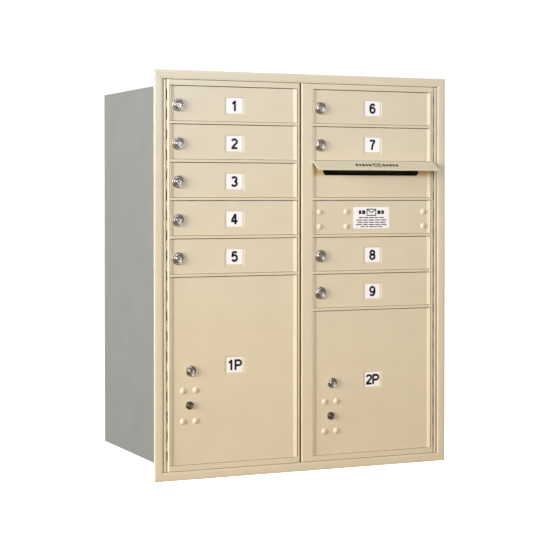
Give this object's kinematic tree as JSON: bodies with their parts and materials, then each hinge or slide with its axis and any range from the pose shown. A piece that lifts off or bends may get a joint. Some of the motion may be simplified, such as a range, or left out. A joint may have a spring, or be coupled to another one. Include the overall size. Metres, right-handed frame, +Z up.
{
  "type": "cluster mailbox unit",
  "caption": "Recessed front-loading cluster mailbox with tenant doors, parcel lockers and an outgoing-mail slot on hinged master doors",
  "frame": {"origin": "centre of the underside of the housing, the face that rests on the sill of the wall opening", "axes": "+X to the right of someone facing the doors, +Y into the wall, +Z up"},
  "size_m": [0.768, 0.465, 0.9525],
  "materials": {
    "cream_powder_coat": "satin powder coat",
    "mill_aluminium": "mill finish",
    "zinc_plated_steel": "satin",
    "satin_nickel": "satin",
    "dark_nickel": "satin",
    "label_film": "satin",
    "print_ink": "matt"
  },
  "bodies": {
    "cabinet": {"trim_top": "cream_powder_coat", "trim_right": "cream_powder_coat", "trim_bottom": "cream_powder_coat", "trim_left": "cream_powder_coat", "housing_left_side": "mill_aluminium", "housing_right_side": "mill_aluminium", "housing_top": "mill_aluminium", "housing_bottom": "mill_aluminium", "housing_back": "mill_aluminium", "centre_partition": "mill_aluminium", "left_shelf_1": "mill_aluminium", "left_shelf_2": "mill_aluminium", "left_shelf_3": "mill_aluminium", "left_shelf_4": "mill_aluminium", "left_shelf_5": "mill_aluminium", "right_shelf_1": "mill_aluminium", "right_shelf_2": "mill_aluminium", "right_shelf_3": "mill_aluminium", "right_shelf_4": "mill_aluminium", "right_shelf_5": "mill_aluminium", "left_hinge_leaf": "cream_powder_coat", "right_hinge_leaf": "cream_powder_coat"},
    "left_master": {"left_master_frame": "cream_powder_coat", "left_door_rod": "zinc_plated_steel"},
    "right_master": {"right_master_frame": "cream_powder_coat", "right_door_rod": "zinc_plated_steel", "outgoing_panel": "cream_powder_coat", "outgoing_hood": "cream_powder_coat", "outgoing_baffle": "mill_aluminium", "access_panel": "cream_powder_coat", "latch_case": "zinc_plated_steel"},
    "door_1": {"door_1": "cream_powder_coat"},
    "lock_1": {"lock_1": "satin_nickel"},
    "door_2": {"door_2": "cream_powder_coat"},
    "lock_2": {"lock_2": "satin_nickel"},
    "door_3": {"door_3": "cream_powder_coat"},
    "lock_3": {"lock_3": "satin_nickel"},
    "door_4": {"door_4": "cream_powder_coat"},
    "lock_4": {"lock_4": "satin_nickel"},
    "door_5": {"door_5": "cream_powder_coat"},
    "lock_5": {"lock_5": "satin_nickel"},
    "parcel_door_1": {"parcel_door_1": "cream_powder_coat"},
    "parcel_lock_1": {"parcel_lock_1": "satin_nickel"},
    "carrier_lock_1": {"carrier_lock_1": "dark_nickel"},
    "door_6": {"door_6": "cream_powder_coat"},
    "lock_6": {"lock_6": "satin_nickel"},
    "door_7": {"door_7": "cream_powder_coat"},
    "lock_7": {"lock_7": "satin_nickel"},
    "door_8": {"door_8": "cream_powder_coat"},
    "lock_8": {"lock_8": "satin_nickel"},
    "door_9": {"door_9": "cream_powder_coat"},
    "lock_9": {"lock_9": "satin_nickel"},
    "parcel_door_2": {"parcel_door_2": "cream_powder_coat"},
    "parcel_lock_2": {"parcel_lock_2": "satin_nickel"},
    "carrier_lock_2": {"carrier_lock_2": "dark_nickel"},
    "latch_cam": {"latch_cam": "zinc_plated_steel"},
    "latch_bar": {"latch_bar": "zinc_plated_steel"},
    "left_catch": {"left_master_catch": "zinc_plated_steel"}
  },
  "joints": [
    {"name": "left_master_hinge", "type": "hinge", "parent": "cabinet", "child": "left_master", "pos_m": [-0.357, -0.2135, 0.44155], "axis": [0, 0, -1], "range_deg": [0, 95]},
    {"name": "right_master_hinge", "type": "hinge", "parent": "cabinet", "child": "right_master", "pos_m": [0.357, -0.2135, 0.44155], "axis": [0, 0, 1], "range_deg": [0, 95]},
    {"name": "door_1_hinge", "type": "hinge", "parent": "left_master", "child": "door_1", "pos_m": [-0.023, -0.2145, 0.8416], "axis": [0, 0, 1], "range_deg": [0, 95]},
    {"name": "lock_1_turn", "type": "hinge", "parent": "door_1", "child": "lock_1", "pos_m": [-0.325, -0.2175, 0.8376], "axis": [0, 1, 0], "range_deg": [0, 90]},
    {"name": "door_2_hinge", "type": "hinge", "parent": "left_master", "child": "door_2", "pos_m": [-0.023, -0.2145, 0.7527], "axis": [0, 0, 1], "range_deg": [0, 95]},
    {"name": "lock_2_turn", "type": "hinge", "parent": "door_2", "child": "lock_2", "pos_m": [-0.325, -0.2175, 0.7487], "axis": [0, 1, 0], "range_deg": [0, 90]},
    {"name": "door_3_hinge", "type": "hinge", "parent": "left_master", "child": "door_3", "pos_m": [-0.023, -0.2145, 0.6638], "axis": [0, 0, 1], "range_deg": [0, 95]},
    {"name": "lock_3_turn", "type": "hinge", "parent": "door_3", "child": "lock_3", "pos_m": [-0.325, -0.2175, 0.6598], "axis": [0, 1, 0], "range_deg": [0, 90]},
    {"name": "door_4_hinge", "type": "hinge", "parent": "left_master", "child": "door_4", "pos_m": [-0.023, -0.2145, 0.5749], "axis": [0, 0, 1], "range_deg": [0, 95]},
    {"name": "lock_4_turn", "type": "hinge", "parent": "door_4", "child": "lock_4", "pos_m": [-0.325, -0.2175, 0.5709], "axis": [0, 1, 0], "range_deg": [0, 90]},
    {"name": "door_5_hinge", "type": "hinge", "parent": "left_master", "child": "door_5", "pos_m": [-0.023, -0.2145, 0.486], "axis": [0, 0, 1], "range_deg": [0, 95]},
    {"name": "lock_5_turn", "type": "hinge", "parent": "door_5", "child": "lock_5", "pos_m": [-0.325, -0.2175, 0.482], "axis": [0, 1, 0], "range_deg": [0, 90]},
    {"name": "parcel_door_1_hinge", "type": "hinge", "parent": "left_master", "child": "parcel_door_1", "pos_m": [-0.023, -0.2145, 0.2193], "axis": [0, 0, 1], "range_deg": [0, 95]},
    {"name": "parcel_lock_1_turn", "type": "hinge", "parent": "parcel_door_1", "child": "parcel_lock_1", "pos_m": [-0.2935, -0.2175, 0.2193], "axis": [0, 1, 0], "range_deg": [0, 90]},
    {"name": "carrier_lock_1_turn", "type": "hinge", "parent": "parcel_door_1", "child": "carrier_lock_1", "pos_m": [-0.297, -0.2175, 0.1393], "axis": [0, 1, 0], "range_deg": [0, 90]},
    {"name": "door_6_hinge", "type": "hinge", "parent": "right_master", "child": "door_6", "pos_m": [0.342, -0.2145, 0.8416], "axis": [0, 0, 1], "range_deg": [0, 95]},
    {"name": "lock_6_turn", "type": "hinge", "parent": "door_6", "child": "lock_6", "pos_m": [0.04, -0.2175, 0.8376], "axis": [0, 1, 0], "range_deg": [0, 90]},
    {"name": "door_7_hinge", "type": "hinge", "parent": "right_master", "child": "door_7", "pos_m": [0.342, -0.2145, 0.7527], "axis": [0, 0, 1], "range_deg": [0, 95]},
    {"name": "lock_7_turn", "type": "hinge", "parent": "door_7", "child": "lock_7", "pos_m": [0.04, -0.2175, 0.7487], "axis": [0, 1, 0], "range_deg": [0, 90]},
    {"name": "door_8_hinge", "type": "hinge", "parent": "right_master", "child": "door_8", "pos_m": [0.342, -0.2145, 0.486], "axis": [0, 0, 1], "range_deg": [0, 95]},
    {"name": "lock_8_turn", "type": "hinge", "parent": "door_8", "child": "lock_8", "pos_m": [0.04, -0.2175, 0.482], "axis": [0, 1, 0], "range_deg": [0, 90]},
    {"name": "door_9_hinge", "type": "hinge", "parent": "right_master", "child": "door_9", "pos_m": [0.342, -0.2145, 0.3971], "axis": [0, 0, 1], "range_deg": [0, 95]},
    {"name": "lock_9_turn", "type": "hinge", "parent": "door_9", "child": "lock_9", "pos_m": [0.04, -0.2175, 0.3931], "axis": [0, 1, 0], "range_deg": [0, 90]},
    {"name": "parcel_door_2_hinge", "type": "hinge", "parent": "right_master", "child": "parcel_door_2", "pos_m": [0.342, -0.2145, 0.17485], "axis": [0, 0, 1], "range_deg": [0, 95]},
    {"name": "parcel_lock_2_turn", "type": "hinge", "parent": "parcel_door_2", "child": "parcel_lock_2", "pos_m": [0.0715, -0.2175, 0.17485], "axis": [0, 1, 0], "range_deg": [0, 90]},
    {"name": "carrier_lock_2_turn", "type": "hinge", "parent": "parcel_door_2", "child": "carrier_lock_2", "pos_m": [0.068, -0.2175, 0.09485], "axis": [0, 1, 0], "range_deg": [0, 90]},
    {"name": "latch_cam_turn", "type": "hinge", "parent": "right_master", "child": "latch_cam", "pos_m": [0.026, -0.2175, 0.5749], "axis": [0, 1, 0], "range_deg": [0, 60]},
    {"name": "latch_bar_slide", "type": "slide", "parent": "right_master", "child": "latch_bar", "axis": [0, 0, 1], "range_m": [0, 0.016]},
    {"name": "left_catch_turn", "type": "hinge", "parent": "left_master", "child": "left_catch", "pos_m": [-0.023, -0.2175, 0.5749], "axis": [0, -1, 0], "range_deg": [0, 90]}
  ],
  "couplings": [
    {"joint": "latch_cam_turn", "follows": "latch_bar_slide", "rad_per_m": 65.449}
  ]
}
